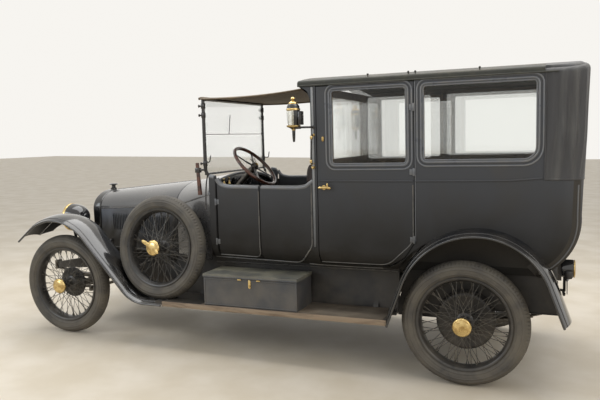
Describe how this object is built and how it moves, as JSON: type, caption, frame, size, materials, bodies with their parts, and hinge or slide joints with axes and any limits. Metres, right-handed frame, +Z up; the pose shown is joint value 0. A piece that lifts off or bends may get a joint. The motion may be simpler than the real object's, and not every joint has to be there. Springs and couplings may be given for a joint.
{
  "type": "vintage limousine car",
  "caption": "Closed 1920s touring limousine with an open driver's seat, wire wheels, a side-mounted spare, running boards, a leather rear quarter, hinged doors and bonnet",
  "frame": {"origin": "on the ground midway along and across the car", "axes": "+X forward, +Y the car's left, +Z up"},
  "size_m": [4.7095, 1.698, 2.2497],
  "materials": {
    "coach_paint": "matt dark grey-black",
    "fender_enamel": "glossy black",
    "chassis_paint": "satin black",
    "wheel_paint": "satin dark grey",
    "tyre_rubber": "dusty",
    "roof_cloth": "dull olive black",
    "hood_leather": "grained",
    "canopy_leather": "thin and dull",
    "seat_leather": "worn",
    "inner_wood": "varnished",
    "board_cover": "worn",
    "box_paint": "satin",
    "screen_paint": "gloss",
    "radiator_metal": "gloss",
    "core_metal": "tarnished",
    "lamp_metal": "gloss with brass rim",
    "brass": "polished",
    "glass": "clear",
    "lens": "clear",
    "iron": "oily",
    "steel": "dull"
  },
  "bodies": {
    "chassis": {"spare_tyre": "tyre_rubber", "spare_wheel": "wheel_paint", "frame": "chassis_paint", "springs": "steel", "front_axle": "iron", "rear_axle": "iron", "engine": "iron", "rear_body": "coach_paint", "roof": "roof_cloth", "hood": "hood_leather", "division": "inner_wood", "front_body": "coach_paint", "scuttle": "coach_paint", "radiator_shell": "radiator_metal", "radiator_core": "core_metal", "toolbox": "box_paint", "windscreen": "screen_paint", "canopy": "canopy_leather", "window_glass": "glass", "steering_column": "screen_paint", "front_seat": "seat_leather", "rear_seat": "seat_leather", "headlamps": "lamp_metal", "lamp_glass": "lens", "side_lamps": "brass", "tail_lamp": "lamp_metal", "fuel_tank": "chassis_paint", "exhaust": "steel", "front_fender_left": "fender_enamel", "rear_fender_left": "fender_enamel", "board_left": "board_cover", "front_fender_right": "fender_enamel", "rear_fender_right": "fender_enamel", "board_right": "board_cover"},
    "road_wheel_front_left": {"wheel_front_left": "wheel_paint", "tyre_front_left": "tyre_rubber"},
    "road_wheel_front_right": {"wheel_front_right": "wheel_paint", "tyre_front_right": "tyre_rubber"},
    "road_wheel_rear_left": {"wheel_rear_left": "wheel_paint", "tyre_rear_left": "tyre_rubber"},
    "road_wheel_rear_right": {"wheel_rear_right": "wheel_paint", "tyre_rear_right": "tyre_rubber"},
    "knuckle_left": {"knuckle_left": "iron"},
    "rear_door_left": {"rear_door_left": "coach_paint", "door_glass_left": "glass", "door_handle_left": "brass"},
    "front_door_left": {"front_door_left": "coach_paint"},
    "bonnet_top_left": {"bonnet_top_left": "coach_paint"},
    "bonnet_side_left": {"bonnet_side_left": "coach_paint"},
    "knuckle_right": {"knuckle_right": "iron"},
    "rear_door_right": {"rear_door_right": "coach_paint", "door_glass_right": "glass", "door_handle_right": "brass"},
    "front_door_right": {"front_door_right": "coach_paint"},
    "bonnet_top_right": {"bonnet_top_right": "coach_paint"},
    "bonnet_side_right": {"bonnet_side_right": "coach_paint"},
    "tie_rod": {"tie_rod": "steel"},
    "steering_wheel": {"steering_wheel": "inner_wood"},
    "toolbox_lid": {"toolbox_lid": "box_paint"}
  },
  "joints": [
    {"name": "kingpin_left", "type": "hinge", "parent": "chassis", "child": "knuckle_left", "pos_m": [1.87348, 0.618, 0.44], "axis": [0.0182, 0, 0.9998], "range_deg": [-30, 30]},
    {"name": "spin_front_left", "type": "hinge", "parent": "knuckle_left", "child": "road_wheel_front_left", "pos_m": [1.87348, 0.71, 0.44], "axis": [0, 1, 0], "continuous": true},
    {"name": "spin_rear_left", "type": "hinge", "parent": "chassis", "child": "road_wheel_rear_left", "pos_m": [-1.60952, 0.71, 0.44], "axis": [0, 1, 0], "continuous": true},
    {"name": "rear_door_left", "type": "hinge", "parent": "chassis", "child": "rear_door_left", "pos_m": [-1.25015, 0.713, 1.39363], "axis": [0.0182, 0, 0.9998], "range_deg": [0, 65]},
    {"name": "front_door_left", "type": "hinge", "parent": "chassis", "child": "front_door_left", "pos_m": [0.39013, 0.63204, 1.06381], "axis": [0.0182, 0, 0.9998], "range_deg": [-70, 0]},
    {"name": "bonnet_top_left", "type": "hinge", "parent": "chassis", "child": "bonnet_top_left", "pos_m": [0.9192, 0, 1.33825], "axis": [0.9932, 0, -0.1161], "range_deg": [0, 70]},
    {"name": "bonnet_side_left", "type": "hinge", "parent": "bonnet_top_left", "child": "bonnet_side_left", "pos_m": [0.91556, 0.391, 1.13778], "axis": [0.9868, -0.146, -0.0708], "range_deg": [-49, 0]},
    {"name": "kingpin_right", "type": "hinge", "parent": "chassis", "child": "knuckle_right", "pos_m": [1.87348, -0.618, 0.44], "axis": [0.0182, 0, 0.9998], "range_deg": [-30, 30]},
    {"name": "spin_front_right", "type": "hinge", "parent": "knuckle_right", "child": "road_wheel_front_right", "pos_m": [1.87348, -0.71, 0.44], "axis": [0, 1, 0], "continuous": true},
    {"name": "spin_rear_right", "type": "hinge", "parent": "chassis", "child": "road_wheel_rear_right", "pos_m": [-1.60952, -0.71, 0.44], "axis": [0, 1, 0], "continuous": true},
    {"name": "rear_door_right", "type": "hinge", "parent": "chassis", "child": "rear_door_right", "pos_m": [-1.25015, -0.713, 1.39363], "axis": [0.0182, 0, 0.9998], "range_deg": [-65, 0]},
    {"name": "front_door_right", "type": "hinge", "parent": "chassis", "child": "front_door_right", "pos_m": [0.39013, -0.63204, 1.06381], "axis": [0.0182, 0, 0.9998], "range_deg": [0, 70]},
    {"name": "bonnet_top_right", "type": "hinge", "parent": "chassis", "child": "bonnet_top_right", "pos_m": [0.9192, 0, 1.33825], "axis": [0.9932, 0, -0.1161], "range_deg": [-70, 0]},
    {"name": "bonnet_side_right", "type": "hinge", "parent": "bonnet_top_right", "child": "bonnet_side_right", "pos_m": [0.91556, -0.391, 1.13778], "axis": [0.9868, 0.146, -0.0708], "range_deg": [0, 49]},
    {"name": "tie_rod_end", "type": "hinge", "parent": "knuckle_left", "child": "tie_rod", "pos_m": [1.70236, 0.618, 0.3801], "axis": [0.0182, 0, 0.9998], "range_deg": [-30, 30]},
    {"name": "steering_wheel", "type": "hinge", "parent": "chassis", "child": "steering_wheel", "pos_m": [0.17788, 0.33, 1.49273], "axis": [-0.6942, 0, 0.7198], "range_deg": [-360, 360]},
    {"name": "toolbox_lid", "type": "hinge", "parent": "chassis", "child": "toolbox_lid", "pos_m": [-0.00563, 0.492, 0.63992], "axis": [0.9998, 0, -0.0182], "range_deg": [0, 18]}
  ],
  "couplings": [
    {"joint": "kingpin_right", "follows": "kingpin_left", "ratio": 1},
    {"joint": "tie_rod_end", "follows": "kingpin_left", "ratio": -1},
    {"joint": "steering_wheel", "follows": "kingpin_left", "ratio": 12},
    {"joint": "bonnet_side_left", "follows": "bonnet_top_left", "ratio": -0.7},
    {"joint": "bonnet_side_right", "follows": "bonnet_top_right", "ratio": -0.7}
  ]
}
